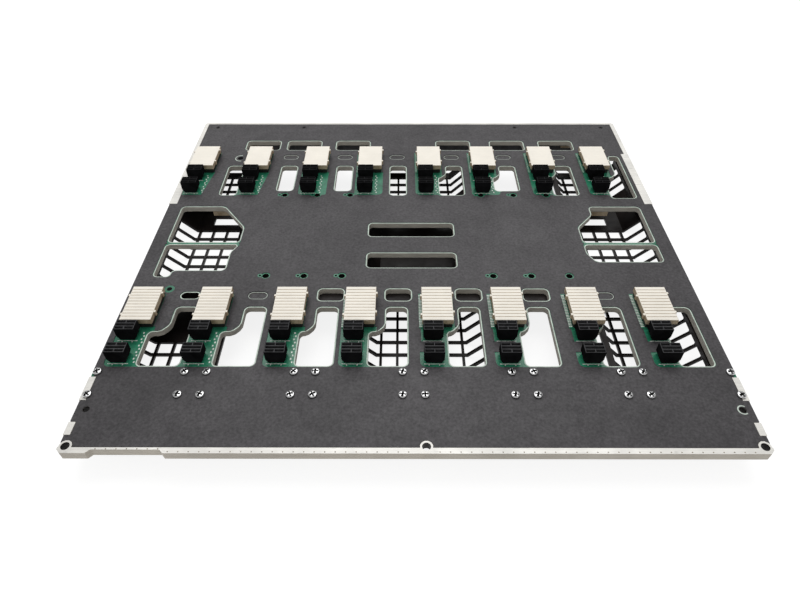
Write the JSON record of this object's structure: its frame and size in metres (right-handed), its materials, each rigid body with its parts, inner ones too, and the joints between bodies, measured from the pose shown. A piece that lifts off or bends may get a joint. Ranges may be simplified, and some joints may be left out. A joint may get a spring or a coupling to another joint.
{
  "type": "blade server chassis midplane",
  "caption": "Flat circuit-board midplane in a metal frame: blade connectors in front, air openings between them, power, module and fan connectors and black fan grilles behind.",
  "frame": {"origin": "centre of the bounding box on the plane that the part lies on", "axes": "+Z up, out of the blade side; +Y along the columns, from the edge with the mounting holes to the far edge; +X to the right, seen from the blade side with +Y up"},
  "size_m": [0.4254, 0.3898, 0.0351],
  "materials": {
    "board_laminate": "solder mask",
    "insulating_film": "satin film",
    "frame_metal": "plain sheet",
    "black_plastic": "moulded",
    "ivory_plastic": "moulded",
    "connector_black": "moulded",
    "screw_steel": "bright plated",
    "dark_screw": "blackened"
  },
  "bodies": {
    "root": {"backing_sheet": "black_plastic", "carrier_frame": "frame_metal", "fan_grille_centre": "black_plastic", "fan_grille_left": "black_plastic", "fan_grille_right": "black_plastic", "frame_screws": "dark_screw", "front_insulator": "insulating_film", "front_power_connectors_01": "connector_black", "front_power_connectors_02": "connector_black", "front_power_connectors_03": "connector_black", "front_power_connectors_04": "connector_black", "front_power_connectors_05": "connector_black", "front_power_connectors_06": "connector_black", "front_power_connectors_07": "connector_black", "front_power_connectors_08": "connector_black", "front_power_connectors_09": "connector_black", "front_power_connectors_10": "connector_black", "front_power_connectors_11": "connector_black", "front_power_connectors_12": "connector_black", "front_power_connectors_13": "connector_black", "front_power_connectors_14": "connector_black", "front_power_connectors_15": "connector_black", "front_power_connectors_16": "connector_black", "front_signal_connector_01": "ivory_plastic", "front_signal_connector_02": "ivory_plastic", "front_signal_connector_03": "ivory_plastic", "front_signal_connector_04": "ivory_plastic", "front_signal_connector_05": "ivory_plastic", "front_signal_connector_06": "ivory_plastic", "front_signal_connector_07": "ivory_plastic", "front_signal_connector_08": "ivory_plastic", "front_signal_connector_09": "ivory_plastic", "front_signal_connector_10": "ivory_plastic", "front_signal_connector_11": "ivory_plastic", "front_signal_connector_12": "ivory_plastic", "front_signal_connector_13": "ivory_plastic", "front_signal_connector_14": "ivory_plastic", "front_signal_connector_15": "ivory_plastic", "front_signal_connector_16": "ivory_plastic", "io_guide_pins": "screw_steel", "midplane_board": "board_laminate", "power_connector_screws": "screw_steel", "rear_fan_connectors": "ivory_plastic", "rear_io_connector_1": "connector_black", "rear_io_connector_2": "connector_black", "rear_io_connector_3": "connector_black", "rear_io_connector_4": "connector_black", "rear_io_connector_5": "connector_black", "rear_io_connector_6": "connector_black", "rear_power_connector_1": "connector_black", "rear_power_connector_2": "connector_black", "rear_power_connector_3": "connector_black", "rear_power_connector_4": "connector_black", "rear_power_connector_5": "connector_black", "rear_power_connector_6": "connector_black", "rear_seal_bar": "black_plastic"}
  },
  "joints": []
}
